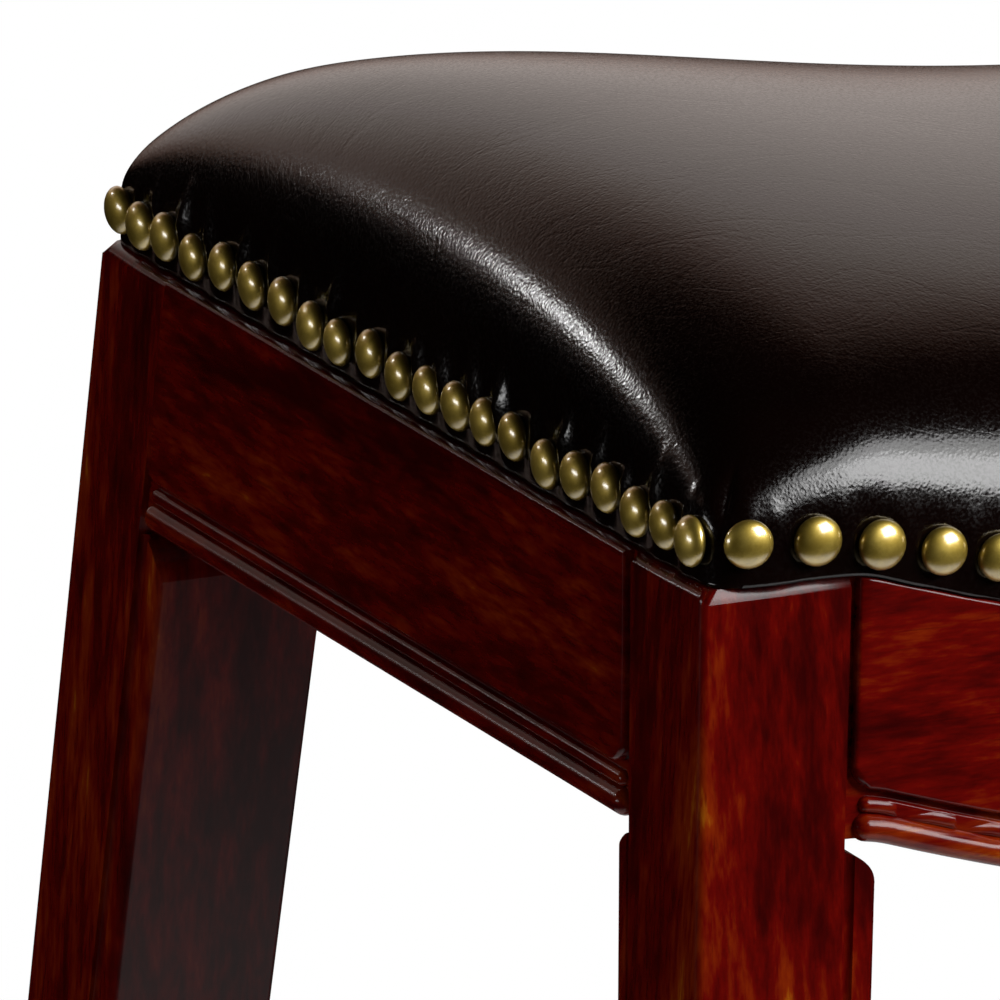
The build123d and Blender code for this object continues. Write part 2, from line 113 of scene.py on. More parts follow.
class StoolColours(bpy.types.PropertyGroup):
    """Colours of the finishes"""
    wood_deep: colour("Deep wood", "Darkest part of the stained wood", (0.034, 0.0006, 0.0006))
    wood_red: colour("Red wood", "Common colour of the stained wood", (0.125, 0.0020, 0.0009))
    wood_warm: colour("Warm wood", "Brown clouds in the stained wood", (0.225, 0.0200, 0.0012))
    wood_light: colour("Light wood", "Streaks where the figure shows", (0.420, 0.130, 0.0050))
    leather: colour("Leather", "Leather of the seat", (0.0022, 0.0006, 0.0004))
    brass: colour("Brass", "Nail heads", (0.760, 0.560, 0.110))
    brass_deep: colour("Old brass", "Darkened parts of the nail heads", (0.500, 0.350, 0.050))
    bare_wood: colour("Bare wood", "Board, blocks and dowels", (0.50, 0.33, 0.18))
    cloth: colour("Cloth", "Dust cloth under the seat", (0.012, 0.012, 0.013))
    steel: colour("Steel", "Screws", (0.60, 0.60, 0.62))
    plastic: colour("Plastic", "Glides under the feet", (0.030, 0.025, 0.020))
    floor: colour("Floor", "Pale floor", (0.80, 0.80, 0.80))


# Saddle line of the seat, as in the part's source

FLAT = 31 * MM
TURN_RADIUS = 38 * MM
TURN = math.radians(18.3)
TURN_START = 240 * MM - FLAT
TURN_END = TURN_START - TURN_RADIUS * math.sin(TURN)
TURN_DROP = TURN_RADIUS * (1 - math.cos(TURN))
SWEEP_RADIUS = TURN_END / math.sin(TURN)
SWEEP_DROP = SWEEP_RADIUS * (1 - math.cos(TURN))


def saddle(x):
    """Height of the saddle line against its level ends."""
    x = abs(x)
    if x >= TURN_START:
        return 0.0
    if x >= TURN_END:
        return math.sqrt(TURN_RADIUS ** 2 - (TURN_START - x) ** 2) - TURN_RADIUS
    return SWEEP_RADIUS - math.sqrt(SWEEP_RADIUS ** 2 - x ** 2) - TURN_DROP - SWEEP_DROP


# Nails: their places are shared by the leather, which they pull in

# The higher this is, the nearer to its ends a row is crowded
CROWD_POWER = 8

# The heads: points of the profile and the angle between them, steps round it, and how they vary
HEAD_STEPS = 12
HEAD_STEP = math.radians(12)
HEAD_TURNS = 24
HEAD_TILT = 0.06
HEAD_SIZES = (0.97, 1.03)


def nail_row(side):
    """Places along one side, from its left or front end, and how far each nail sits over its row."""
    seat, nails = bpy.context.scene.stool_seat, bpy.context.scene.stool_nails
    if side in ("front", "back"):
        half, count, crowd = seat.half_long - nails.long_gap, nails.long_count, 0.0
    else:
        half, count, crowd = seat.half_wide - nails.short_gap, nails.short_count, nails.crowd
    chance = random.Random(ROW_CHANCE[side])
    row = []
    for i in range(count):
        share = 2 * i / (count - 1) - 1
        along = half * share + math.copysign(crowd * share ** 2 * (1 - share ** CROWD_POWER), share)
        row.append((along + chance.uniform(-1, 1) * nails.stray, chance.uniform(-1, 1) * nails.lift))
    return row


def nail_matrix(side, along, rise):
    """Turns a nail that points along +Z so that it points out of the cover at its place."""
    seat, nails = bpy.context.scene.stool_seat, bpy.context.scene.stool_nails
    if side in ("front", "back"):
        half, other, sign = seat.half_long, seat.half_wide, -1 if side == "front" else 1
    else:
        half, other, sign = seat.half_wide, seat.half_long, -1 if side == "left" else 1
    past = min(max(abs(along) - (half - seat.corner), 0) / seat.corner, 1)
    lean = math.copysign(math.asin(past), along)
    away = other - seat.corner + seat.corner * math.cos(lean) + nails.stand
    if side in ("front", "back"):
        place, out = (along, sign * away), (math.sin(lean), sign * math.cos(lean), 0)
    else:
        place, out = (sign * away, along), (sign * math.cos(lean), math.sin(lean), 0)
    z = LEG_TOP + saddle(place[0]) + seat.nail_line + rise
    turn = Vector(out).to_track_quat("Z", "Y").to_matrix().to_4x4()
    return Matrix.Translation((place[0], place[1], z)) @ turn


# Shaders

# Outputs of the Light Path and Texture Coordinate nodes
RAYS = {"camera": 0, "glossy": 3, "through": 6}
OBJECT_OUTPUT = 3
GENERATED_OUTPUT = 0


class Reading:
    """A shader value that sums can be written with."""

    def __init__(self, tree, socket):
        self.tree, self.socket = tree, socket

    def sum_with(self, operation, other, first=True):
        node = self.tree.nodes.new("ShaderNodeMath")
        node.operation = operation
        pair = (self, other) if first else (other, self)
        for slot, item in zip(node.inputs, pair):
            if isinstance(item, Reading):
                self.tree.links.new(item.socket, slot)
            elif item is not None:
                slot.default_value = item
        return Reading(self.tree, node.outputs[0])

    def __add__(self, other):
        return self.sum_with("ADD", other)

    __radd__ = __add__

    def __sub__(self, other):
        return self.sum_with("SUBTRACT", other)

    def __rsub__(self, other):
        return self.sum_with("SUBTRACT", other, first=False)

    def __mul__(self, other):
        return self.sum_with("MULTIPLY", other)

    __rmul__ = __mul__

    def absolute(self):
        return self.sum_with("ABSOLUTE", None)

    def clamp(self):
        node = self.tree.nodes.new("ShaderNodeClamp")
        self.tree.links.new(self.socket, node.inputs[0])
        return Reading(self.tree, node.outputs[0])


class Finish:
    """A material, built node by node."""

    def __init__(self, name, tree=None):
        if tree is None:
            self.material = bpy.data.materials.new(name)
            self.material.use_nodes = True
            tree = self.material.node_tree
            tree.nodes.clear()
        self.tree = tree

    def node(self, kind, settings=None, sockets=None, output=0):
        """Adds a node, sets it up, fills or links its sockets and gives one output."""
        node = self.tree.nodes.new(kind)
        for name, value in (settings or {}).items():
            if name == "stops":
                ramp = node.color_ramp
                while len(ramp.elements) < len(value):
                    ramp.elements.new(1.0)
                for element, (place, tint) in zip(ramp.elements, value):
                    element.position, element.color = place, (*tint, 1.0)
            else:
                setattr(node, name, value)
        for name, value in (sockets or {}).items():
            slot = node.inputs[name]
            if isinstance(value, Reading):
                self.tree.links.new(value.socket, slot)
            else:
                slot.default_value = value
        return Reading(self.tree, node.outputs[output])

    def ray(self, kind):
        """1 for the rays of a kind, 0 for the others."""
        return self.node("ShaderNodeLightPath", output=RAYS[kind])

    def place(self, scale=(1, 1, 1), turn=(0, 0, 0)):
        """The object's own coordinates in metres, scaled and turned."""
        spot = self.node("ShaderNodeTexCoord", output=OBJECT_OUTPUT)
        return self.node("ShaderNodeMapping", {}, {"Vector": spot, "Scale": scale, "Rotation": turn})

    def noise(self, where, scale, detail=2.0, rough=0.5, twist=0.0):
        return self.node("ShaderNodeTexNoise", {}, {"Vector": where, "Scale": scale, "Detail": detail,
                                                    "Roughness": rough, "Distortion": twist})

    def between(self, value, low, high):
        """0 at low, 1 at high, smooth."""
        return self.node("ShaderNodeMapRange", {"interpolation_type": "SMOOTHSTEP"},
                         {"Value": value, "From Min": low, "From Max": high})

    def blend(self, mask, first, second):
        """The first colour where the mask is 0, the second where it is 1."""
        return self.node("ShaderNodeMix", {"data_type": "RGBA"}, {0: mask, 6: first, 7: second}, output=2)

    def bump(self, height, distance, strength=1.0, normal=None):
        sockets = {"Height": height, "Distance": distance, "Strength": strength}
        if normal is not None:
            sockets["Normal"] = normal
        return self.node("ShaderNodeBump", {}, sockets)

    def surface(self, sockets):
        shader = self.node("ShaderNodeBsdfPrincipled", {}, sockets)
        out = self.tree.nodes.new("ShaderNodeOutputMaterial")
        self.tree.links.new(shader.socket, out.inputs["Surface"])
        return self.material


def rgba(tint, share=1.0):
    """A colour with its alpha, darker or lighter by a share."""
    return (*(channel * share for channel in tint), 1.0)


def stained_wood(name, grain):
    """Dark lacquered wood whose figure runs along one axis."""
    tints = bpy.context.scene.stool_colours
    finish = Finish(name)
    figure_stretch, pore_stretch = 0.2, 0.04
    along = finish.place([figure_stretch if axis == grain else 1.0 for axis in "XYZ"])
    along_pores = finish.place([pore_stretch if axis == grain else 1.0 for axis in "XYZ"])
    clouds = finish.noise(along, scale=26, detail=3, rough=0.5, twist=0.5)
    streaks = finish.noise(along, scale=150, detail=4, rough=0.6, twist=0.3)
    flecks = finish.noise(along, scale=520, detail=3, rough=0.6)
    pores = finish.noise(along_pores, scale=1100, detail=3, rough=0.6)
    figure = finish.between(clouds * 0.6 + streaks * 0.48 + flecks * 0.26, low=0.48, high=0.92)
    body = finish.node("ShaderNodeValToRGB", {"stops": [
        (0.0, tints.wood_deep), (0.4, tints.wood_red), (0.75, tints.wood_warm),
        (1.0, tints.wood_light)]}, {"Fac": figure})
    dark = finish.between(pores, low=0.56, high=0.72) * 0.4
    body = finish.blend(dark, body, rgba(tints.wood_deep))
    skin = finish.noise(finish.place(), scale=420, detail=2)
    height = finish.bump(pores * 0.25 + skin * 0.3 + clouds * 0.5, distance=0.1 * MM, strength=0.25)
    return finish.surface({"Base Color": body, "Roughness": 0.13 + 0.08 * clouds, "Normal": height,
                           "IOR": 1.36})


def bare_wood():
    tints = bpy.context.scene.stool_colours
    finish = Finish("bare_wood")
    lines = finish.noise(finish.place((0.1, 1, 1)), scale=160, detail=4, rough=0.6, twist=0.5)
    body = finish.blend(finish.between(lines, low=0.35, high=0.7), rgba(tints.bare_wood),
                        rgba(tints.bare_wood, share=0.62))
    return finish.surface({"Base Color": body, "Roughness": 0.55 + 0.2 * lines,
                           "Normal": finish.bump(lines, distance=0.2 * MM, strength=0.4)})


def seat_leather():
    """Near-black leather: a fine grain, soft creases and faint broad unevenness."""
    tints = bpy.context.scene.stool_colours
    finish = Finish("seat_leather")
    plain = finish.place()
    drawn = finish.place(scale=(0.45, 1, 1), turn=(0, 0, 0.5))
    grain = finish.node("ShaderNodeTexVoronoi", {}, {"Vector": plain, "Scale": 1250.0})
    fine = finish.noise(plain, scale=2100, detail=2, rough=0.6)
    pebble = finish.noise(plain, scale=1000, detail=1)
    speck = finish.between(finish.noise(plain, scale=1500, detail=2, rough=0.6), low=0.40, high=0.62)
    creases = finish.noise(drawn, scale=45, detail=3, twist=1.0)
    fold = 1 - finish.between((creases - 0.5).absolute(), low=0.0, high=0.02)
    waves = finish.noise(plain, scale=22, detail=1)
    worn = finish.noise(plain, scale=14, detail=3, rough=0.55)
    broad = finish.bump(waves, distance=4 * MM, strength=0.04)
    creased = finish.bump(1 - fold, distance=0.3 * MM, strength=0.05, normal=broad)
    grained = finish.bump(pebble * 0.5 + grain * 0.3 + fine * 0.12, distance=0.16 * MM, strength=0.42,
                          normal=creased)
    body = finish.blend(finish.between(worn, low=0.35, high=0.7), rgba(tints.leather),
                        rgba(tints.leather, share=1.9))
    return finish.surface({"Base Color": body, "Roughness": 0.11 + 0.03 * worn + 0.11 * speck,
                           "Normal": grained, "IOR": 1.5})


def old_brass():
    tints = bpy.context.scene.stool_colours
    finish = Finish("old_brass")
    plain = finish.place()
    spots = finish.noise(plain, scale=420, detail=4, rough=0.6)
    age = finish.noise(plain, scale=90, detail=2)
    body = finish.blend(finish.between(spots * 0.6 + age * 0.5, low=0.38, high=0.72), rgba(tints.brass),
                        rgba(tints.brass_deep))
    return finish.surface({"Base Color": body, "Metallic": 1.0, "Roughness": 0.46 + 0.1 * spots,
                           "Coat Weight": 1.0, "Coat Roughness": 0.2, "Coat IOR": 2.5,
                           "Normal": finish.bump(spots, distance=0.06 * MM, strength=0.4)})


def zinc():
    finish = Finish("zinc")
    haze = finish.noise(finish.place(), scale=600, detail=3)
    return finish.surface({"Base Color": rgba(bpy.context.scene.stool_colours.steel), "Metallic": 1.0,
                           "Roughness": 0.3 + 0.2 * haze})


def glide_plastic():
    finish = Finish("glide_plastic")
    haze = finish.noise(finish.place(), scale=700, detail=3)
    return finish.surface({"Base Color": rgba(bpy.context.scene.stool_colours.plastic),
                           "Roughness": 0.5 + 0.15 * haze,
                           "Normal": finish.bump(haze, distance=0.1 * MM, strength=0.3)})


def dust_cloth_finish():
    finish = Finish("dust_cloth_finish")
    tint = bpy.context.scene.stool_colours.cloth
    threads = finish.noise(finish.place(), scale=1400, detail=2, rough=0.7)
    body = finish.blend(threads, rgba(tint), rgba(tint, share=2.2))
    return finish.surface({"Base Color": body, "Roughness": 0.9,
                           "Normal": finish.bump(threads, distance=0.3 * MM, strength=0.6)})


# Helpers for pieces

MERGE = 0.002 * MM

# Edges that turn by more than these stay sharp
LEG_ANGLE = math.radians(50)
MOULDING_ANGLE = math.radians(75)
CHAMFER_ANGLE = math.radians(12)

# How much large faces count for the normals; 50 is neutral
LEG_WEIGHT = 90
MOULDING_WEIGHT = 50

# The chamfer at a leg's top and how far its lower and upper edges are moved
CHAMFER = 2.4 * MM
CHAMFER_OUT = 0.2 * MM
CHAMFER_DOWN = 0.4 * MM
TOP_OUT = 1.3 * MM
CORNER_REACH = 2 * MM
INNER_GAIN = 4
TOP_REACH = 3 * MM

# Where the leg's top keeps its edges crisp: down from the top, and out from the middle
CRISP_HEIGHT = 6 * MM
CRISP_Y = 153 * MM
CRISP_X = 239 * MM


def piece(name, bm, material):
    """Makes an object from a bmesh, smooth, finished and riding on the one body."""
    mesh = bpy.data.meshes.new(name)
    for face in bm.faces:
        face.smooth = True
    bm.to_mesh(mesh)
    bm.free()
    mesh.materials.append(material)
    obj = bpy.data.objects.new(name, mesh)
    bpy.context.scene.collection.objects.link(obj)
    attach(obj, "root")
    return obj


def dress(node, material):
    """Gives a CAD node its finish."""
    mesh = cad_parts[node].data
    mesh.materials.clear()
    mesh.materials.append(material)


def soften(node, material):
    """A merged copy of a CAD node whose narrow arrises shade as rounded ones."""
    bm = bmesh.new()
    bm.from_mesh(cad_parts[node].data)
    bmesh.ops.remove_doubles(bm, verts=bm.verts, dist=MERGE)
    leg = node.startswith("leg_")
    if leg:
        steepen_chamfer(bm)
    for edge in bm.edges:
        limit = LEG_ANGLE if leg else MOULDING_ANGLE
        if leg and all(on_long_chamfer(vert.co) for vert in edge.verts):
            limit = CHAMFER_ANGLE
        edge.smooth = len(edge.link_faces) == 2 and edge.calc_face_angle() < limit
    obj = piece(node + "_finished", bm, material)
    normals = obj.modifiers.new("Arrises", "WEIGHTED_NORMAL")
    normals.keep_sharp = True
    normals.weight = LEG_WEIGHT if leg else MOULDING_WEIGHT
    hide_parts(node)


def on_long_chamfer(co):
    """Whether a point is at the top of a leg, on the side that faces as a long side does."""
    return co.z > LEG_TOP - CRISP_HEIGHT and abs(co.y) > CRISP_Y and abs(co.x) < CRISP_X


def steepen_chamfer(bm):
    """Makes the chamfer over a leg's long-side face steeper, as if it were sanded down over it."""
    ring = [v for v in bm.verts if CHAMFER - 0.1 * MM < LEG_TOP - v.co.z < CHAMFER + 0.1 * MM]
    far_x, far_y = (max(abs(v.co[i]) for v in ring) for i in (0, 1))
    top = [v for v in bm.verts if LEG_TOP - v.co.z < 0.01 * MM]
    for vert in ring:
        share = (abs(vert.co.y) - far_y) / CORNER_REACH + 1
        if abs(vert.co.x) < far_x - CORNER_REACH:
            share *= INNER_GAIN
        share = max(0.0, min(share, 1.0))
        vert.co += share * Vector((0, math.copysign(CHAMFER_OUT, vert.co.y), -CHAMFER_DOWN))
    for vert in top:
        if abs(vert.co.y) > far_y - TOP_REACH:
            vert.co.y += math.copysign(TOP_OUT, vert.co.y)


def spread(t, power):
    """Moves grid lines from the middle towards the edges."""
    return math.copysign(1 - (1 - min(abs(t), 1.0)) ** power, t)


# Seat

# Two powers for each curve: how flat it is in the middle, and how steeply it ends
DIP_ALONG = (2, 1.281)
CROWN_ALONG = (5.4, 0.391)
CROWN_ACROSS = (2.132, 0.399)
SADDLE_ACROSS = 6

# Leather over the board's edge: its padding, how soon it rises there, and how softly it parts
BOARD_PADDING = 1.6 * MM
BOARD_ROUND = 0.8 * MM
BOARD_BLEND = 1.2 * MM

# Mesh of the cover: squares along and across, how much they crowd at the edges, and the levels
# of the rings under the nail line as shares of the way up to it
GRID = (340, 270)
GRID_SPREAD = (1.6, 1.5)
RINGS = (0.84, 0.68, 0.52, 0.36, 0.2, 0.1, 0.0)

# Folds between the nails: sizes and heights as shares of the common ones, and how they vary
LONG_SIDE_FOLDS = 0.3
FOLD_HEIGHTS = (0.65, 1.3)
FOLD_SIZES = (0.5, 1.15)
FOLD_LEAN = 0.28
FOLD_STRAY = 1 * MM
FOLD_EASE = 0.75
FOLD_EASE_POWER = 6

# Shape of one fold: its share at the nails, where it is fullest, how it tapers, and its widths
FOLD_FOOT = 0.5
FOLD_FULL = 0.3
FOLD_TAPER = 0.8
FOLD_TIP = 0.9 * MM
FOLD_SPREAD = 3.1 * MM
FOLD_REACH = 14 * MM

# Dimples at the nails, and how dimples and folds fade under them and away from the edge
DIMPLE = 4.6 * MM
DIMPLE_POWER = 3
DIMPLE_REACH = 12 * MM
PRESS_HEIGHT = 3.6 * MM
PRESS_UNDER = 0.45
FOLD_UNDER = 1.5
TUCK_HEIGHT = 30 * MM
TUCK_DEPTH = 9 * MM
LEAST_TUCK = 0.01


def swell(share, powers):
    """1 in the middle, 0 at the edge."""
    return (1 - share ** powers[0]) ** powers[1]


def seat_height(x, y):
    """Top of the leather over the tops of the legs, without its folds."""
    seat = bpy.context.scene.stool_seat
    along = min(abs(x) / seat.half_long, 1.0)
    across = min(abs(y) / seat.half_wide, 1.0)
    dip = seat.dip * swell(along, DIP_ALONG)
    crown = seat.crown * swell(along, CROWN_ALONG) * swell(across, CROWN_ACROSS)
    return seat.nail_line - dip + crown + (saddle(x) + dip) * across ** SADDLE_ACROSS


def over_board(x, y, z):
    """Keeps the leather over the board's edge at the seat's corners."""
    seat = bpy.context.scene.stool_seat
    dx = abs(x) - (seat.half_long - seat.corner)
    dy = abs(y) - (seat.half_wide - seat.corner)
    inside = seat.corner - (math.hypot(dx, dy) if dx > 0 and dy > 0 else max(dx, dy))
    wall = seat.board_top + BOARD_PADDING - seat.nail_line
    low = saddle(x) + seat.nail_line + wall * (1 - math.exp(-max(inside, 0) / BOARD_ROUND))
    return (z + low + math.hypot(z - low, BOARD_BLEND)) / 2


def fold_row(side, row):
    """A fold between each two nails of a row: its place, height, lean and size."""
    seat = bpy.context.scene.stool_seat
    chance = random.Random(side + " folds")
    size = LONG_SIDE_FOLDS if side in ("front", "back") else 1.0
    folds = []
    for (a, _), (b, _) in zip(row, row[1:]):
        tall = seat.fold_long * chance.uniform(*FOLD_HEIGHTS)
        ease = 1 - FOLD_EASE * ((a + b) / 2 / row[-1][0]) ** FOLD_EASE_POWER
        middle = (a + b) / 2 + chance.uniform(-1, 1) * FOLD_STRAY
        lean = chance.uniform(-FOLD_LEAN, FOLD_LEAN)
        folds.append((middle, tall, lean, chance.uniform(*FOLD_SIZES) * size * ease))
    return folds


def pull(place, row, folds, height):
    """How far the leather is drawn in at a place along a row of nails; less than 0 stands out."""
    seat = bpy.context.scene.stool_seat
    over = max(height, 0)
    valley = sum(math.exp(-(abs(place - along) / DIMPLE) ** DIMPLE_POWER) for along, _ in row
                 if abs(place - along) < DIMPLE_REACH)
    ridge = 0.0
    for middle, tall, lean, size in folds:
        away = abs(place - middle - lean * over)
        left = 1 - over / tall
        if left > 0 and away < FOLD_REACH:
            full = min(over / (FOLD_FULL * tall), 1)
            rise = FOLD_FOOT + (1 - FOLD_FOOT) * math.sin(full * math.pi / 2) ** 2
            width = FOLD_TIP + FOLD_SPREAD * left
            ridge = max(ridge, size * rise * left ** FOLD_TAPER * math.exp(-(away / width) ** 2))
    under = min(max(-height, 0) / seat.nail_line, 1)
    press = seat.press * math.exp(-(over / PRESS_HEIGHT) ** 2) * min(valley, 1.0)
    return press * (1 - PRESS_UNDER * under) - seat.fold * ridge * (1 - under) ** FOLD_UNDER


class STOOL_OT_seat(bpy.types.Operator):
    """Model the padded leather seat"""
    bl_idname = "stool.seat"
    bl_label = "Padded seat"

    def execute(self, context):
        seat = context.scene.stool_seat
        rows = {side: nail_row(side) for side in SIDES}
        folds = {side: fold_row(side, rows[side]) for side in SIDES}
        bm = bmesh.new()
        bmesh.ops.create_grid(bm, x_segments=GRID[0], y_segments=GRID[1], size=1.0)
        for vert in bm.verts:
            x = spread(vert.co.x, GRID_SPREAD[0]) * seat.half_long
            y = spread(vert.co.y, GRID_SPREAD[1]) * seat.half_wide
            vert.co = (x, y, 0)
            vert.co.z = seat_height(vert.co.x, vert.co.y)
        rim = [e for e in bm.edges if e.is_boundary]
        for share in RINGS:
            level = seat.gap + share * (seat.nail_line - seat.gap)
            rim = self.ring(bm, rim, lambda co: (co.x, co.y, saddle(co.x) + level))
        for vert in bm.verts:
            self.round_corner(seat, vert)
            if vert.co.z > saddle(vert.co.x) + seat.nail_line - 0.01 * MM:
                vert.co.z = over_board(*vert.co)
            self.tuck(seat, rows, folds, vert)
        skin = seat.cover + seat.gap
        wall = skin + 0.1 * MM
        for inwards, level in ((1 * MM, seat.gap), (seat.hem, seat.gap), (seat.hem, skin),
                               (wall, skin), (wall, seat.board_top + seat.gap)):
            rim = self.ring(bm, rim, lambda co: self.drawn(seat, co, inwards, level))
        long_edges = [e for e in rim if self.faces_long(e, -1)] + [e for e in rim if self.faces_long(e, 1)]
        bmesh.ops.bridge_loops(bm, edges=long_edges)
        bmesh.ops.holes_fill(bm, edges=[e for e in bm.edges if e.is_boundary], sides=0)
        for vert in bm.verts:
            vert.co.z += LEG_TOP
        bmesh.ops.recalc_face_normals(bm, faces=bm.faces)
        obj = piece("leather_seat", bm, seat_leather())
        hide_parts("leather_cover", "foam_pad")
        return {"FINISHED"}

    def ring(self, bm, edges, move):
        """Extrudes the open rim and moves the new ring."""
        new = bmesh.ops.extrude_edge_only(bm, edges=edges)["geom"]
        for vert in [g for g in new if isinstance(g, bmesh.types.BMVert)]:
            vert.co = move(vert.co)
        return [g for g in new if isinstance(g, bmesh.types.BMEdge) and g.is_boundary]

    def drawn(self, seat, co, inwards, level):
        """A point of the rim on the same rounded outline further inside, at a level over the saddle."""
        x = max(-seat.half_long + inwards, min(seat.half_long - inwards, co.x))
        y = max(-seat.half_wide + inwards, min(seat.half_wide - inwards, co.y))
        return (x, y, saddle(x) + level)

    def faces_long(self, edge, sign):
        a, b = (v.co for v in edge.verts)
        return abs(a.x - b.x) > abs(a.y - b.y) and (a.y + b.y) * sign > 0

    def round_corner(self, seat, vert):
        dx = abs(vert.co.x) - (seat.half_long - seat.corner)
        dy = abs(vert.co.y) - (seat.half_wide - seat.corner)
        if dx > 0 and dy > 0:
            share = max(dx, dy) / math.hypot(dx, dy)
            vert.co.x = math.copysign(seat.half_long - seat.corner + dx * share, vert.co.x)
            vert.co.y = math.copysign(seat.half_wide - seat.corner + dy * share, vert.co.y)

    def tuck(self, seat, rows, folds, vert):
        """Draws the leather in at the nails, and lets it stand out between them."""
        x, y, z = vert.co
        height = z - saddle(x) - seat.nail_line
        if height > TUCK_HEIGHT:
            return
        near_long = math.exp(-((seat.half_wide - abs(y)) / TUCK_DEPTH) ** 2)
        near_end = math.exp(-((seat.half_long - abs(x)) / TUCK_DEPTH) ** 2)
        if near_long > LEAST_TUCK:
            side = "front" if y < 0 else "back"
            vert.co.y -= math.copysign(near_long, y) * pull(x, rows[side], folds[side], height)
        if near_end > LEAST_TUCK:
            side = "left" if x < 0 else "right"
            vert.co.x -= math.copysign(near_end, x) * pull(y, rows[side], folds[side], height)


class STOOL_OT_nails(bpy.types.Operator):
    """Model the four rows of round nails"""
    bl_idname = "stool.nails"
    bl_label = "Nails"

    def execute(self, context):
        nails = context.scene.stool_nails
        material = old_brass()
        head = self.head(nails)
        for side in SIDES:
            bm = bmesh.new()
            chance = random.Random(side + " heads")
            for along, rise in nail_row(side):
                scale = Matrix.Scale(chance.uniform(*HEAD_SIZES), 4)
                tilt_x = Matrix.Rotation(chance.uniform(-HEAD_TILT, HEAD_TILT), 4, "X")
                tilt_y = Matrix.Rotation(chance.uniform(-HEAD_TILT, HEAD_TILT), 4, "Y")
                start = len(bm.verts)
                bm.from_mesh(head)
                bm.verts.ensure_lookup_table()
                matrix = nail_matrix(side, along, rise) @ tilt_x @ tilt_y @ scale
                bmesh.ops.transform(bm, matrix=matrix, verts=bm.verts[start:])
            obj = piece("nail_heads_" + side, bm, material)
            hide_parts("nails_" + side)
        bpy.data.meshes.remove(head)
        return {"FINISHED"}

    def head(self, nails):
        """Mesh of one domed head, closed behind, that points along +Z."""
        bm = bmesh.new()
        profile = []
        for i in range(HEAD_STEPS):
            angle = HEAD_STEP * i
            rise = nails.height if angle < math.pi / 2 else nails.roll
            profile.append(bm.verts.new((nails.radius * math.sin(angle), 0, rise * math.cos(angle))))
        profile.append(bm.verts.new((0, 0, profile[-1].co.z)))
        edges = [bm.edges.new(pair) for pair in zip(profile, profile[1:])]
        bmesh.ops.spin(bm, geom=profile + edges, cent=(0, 0, 0), axis=(0, 0, 1), angle=2 * math.pi,
                       steps=HEAD_TURNS, use_merge=True)
        bmesh.ops.remove_doubles(bm, verts=bm.verts, dist=0.01 * MM)
        bmesh.ops.recalc_face_normals(bm, faces=bm.faces)
        mesh = bpy.data.meshes.new("nail_head")
        bm.to_mesh(mesh)
        bm.free()
        return mesh


# Dust cloth: how much of each side its cut corners take, its sag, its waves and their number to
# a metre along and across, its clearance under the board and its thickness

CLOTH_CLIP = 49.1 * MM
CLOTH_SAG = 2.5 * MM
CLOTH_WAVE = 0.5 * MM
CLOTH_WAVES = (18, 30)
CLOTH_GAP = 0.35 * MM
CLOTH_THICK = 0.5 * MM


class STOOL_OT_cloth(bpy.types.Operator):
    """Model the dust cloth under the seat"""
    bl_idname = "stool.cloth"
    bl_label = "Dust cloth"

    def execute(self, context):
        half_x, half_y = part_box("dust_cloth")[1].xy
        bm = bmesh.new()
        bmesh.ops.create_grid(bm, x_segments=72, y_segments=44, size=1.0)
        for vert in bm.verts:
            vert.co = (vert.co.x * half_x, vert.co.y * half_y, 0)
        cut = (half_x + half_y - CLOTH_CLIP) / math.sqrt(2)
        for sx in (-1, 1):
            for sy in (-1, 1):
                normal = Vector((sx, sy, 0)).normalized()
                bmesh.ops.bisect_plane(bm, geom=bm.verts[:] + bm.edges[:] + bm.faces[:],
                                       plane_co=normal * cut, plane_no=normal, clear_outer=True)
        flat = sum(f.calc_area() for f in bm.faces)
        for vert in bm.verts:
            x, y = vert.co.x, vert.co.y
            sag = CLOTH_SAG * (1 - (x / half_x) ** 2) * (1 - (y / half_y) ** 2)
            wave = CLOTH_WAVE * noise.noise(Vector((x * CLOTH_WAVES[0], y * CLOTH_WAVES[1], 0)))
            vert.co.z = LEG_TOP + saddle(x) - CLOTH_GAP - max(sag + wave, 0)
        drawn = sum(f.calc_area() for f in bm.faces)
        obj = piece("dust_cloth_sheet", bm, dust_cloth_finish())
        thick = obj.modifiers.new("Thickness", "SOLIDIFY")
        thick.thickness, thick.offset = CLOTH_THICK, -1.0
        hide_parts("dust_cloth")
        arc = 2 * half_x * drawn / flat
        return {"FINISHED"}


class STOOL_OT_wood(bpy.types.Operator):
    """Finish the wooden base, the board and the fastenings"""
    bl_idname = "stool.wood"
    bl_label = "Wood and fastenings"

    def execute(self, context):
        upright = stained_wood("stained_wood_upright", "Z")
        long_way = stained_wood("stained_wood_long", "X")
        cross = stained_wood("stained_wood_cross", "Y")
        bare, screws = bare_wood(), zinc()
        for node in list(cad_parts):
            if node.startswith("leg_"):
                soften(node, upright)
            elif node in ("apron_front", "apron_back", "stretcher_front", "stretcher_back"):
                soften(node, long_way)
            elif node.startswith(("apron_l", "apron_r", "stretcher_")):
                soften(node, cross)
            elif node.startswith(("corner_block", "seat_board", "apron_dowels")):
                dress(node, bare)
            elif node.endswith("_screws"):
                dress(node, screws)
        dress("foot_glides", glide_plastic())
        return {"FINISHED"}


# Stage

AIM = Vector((-0.2, -0.1, 0.69))

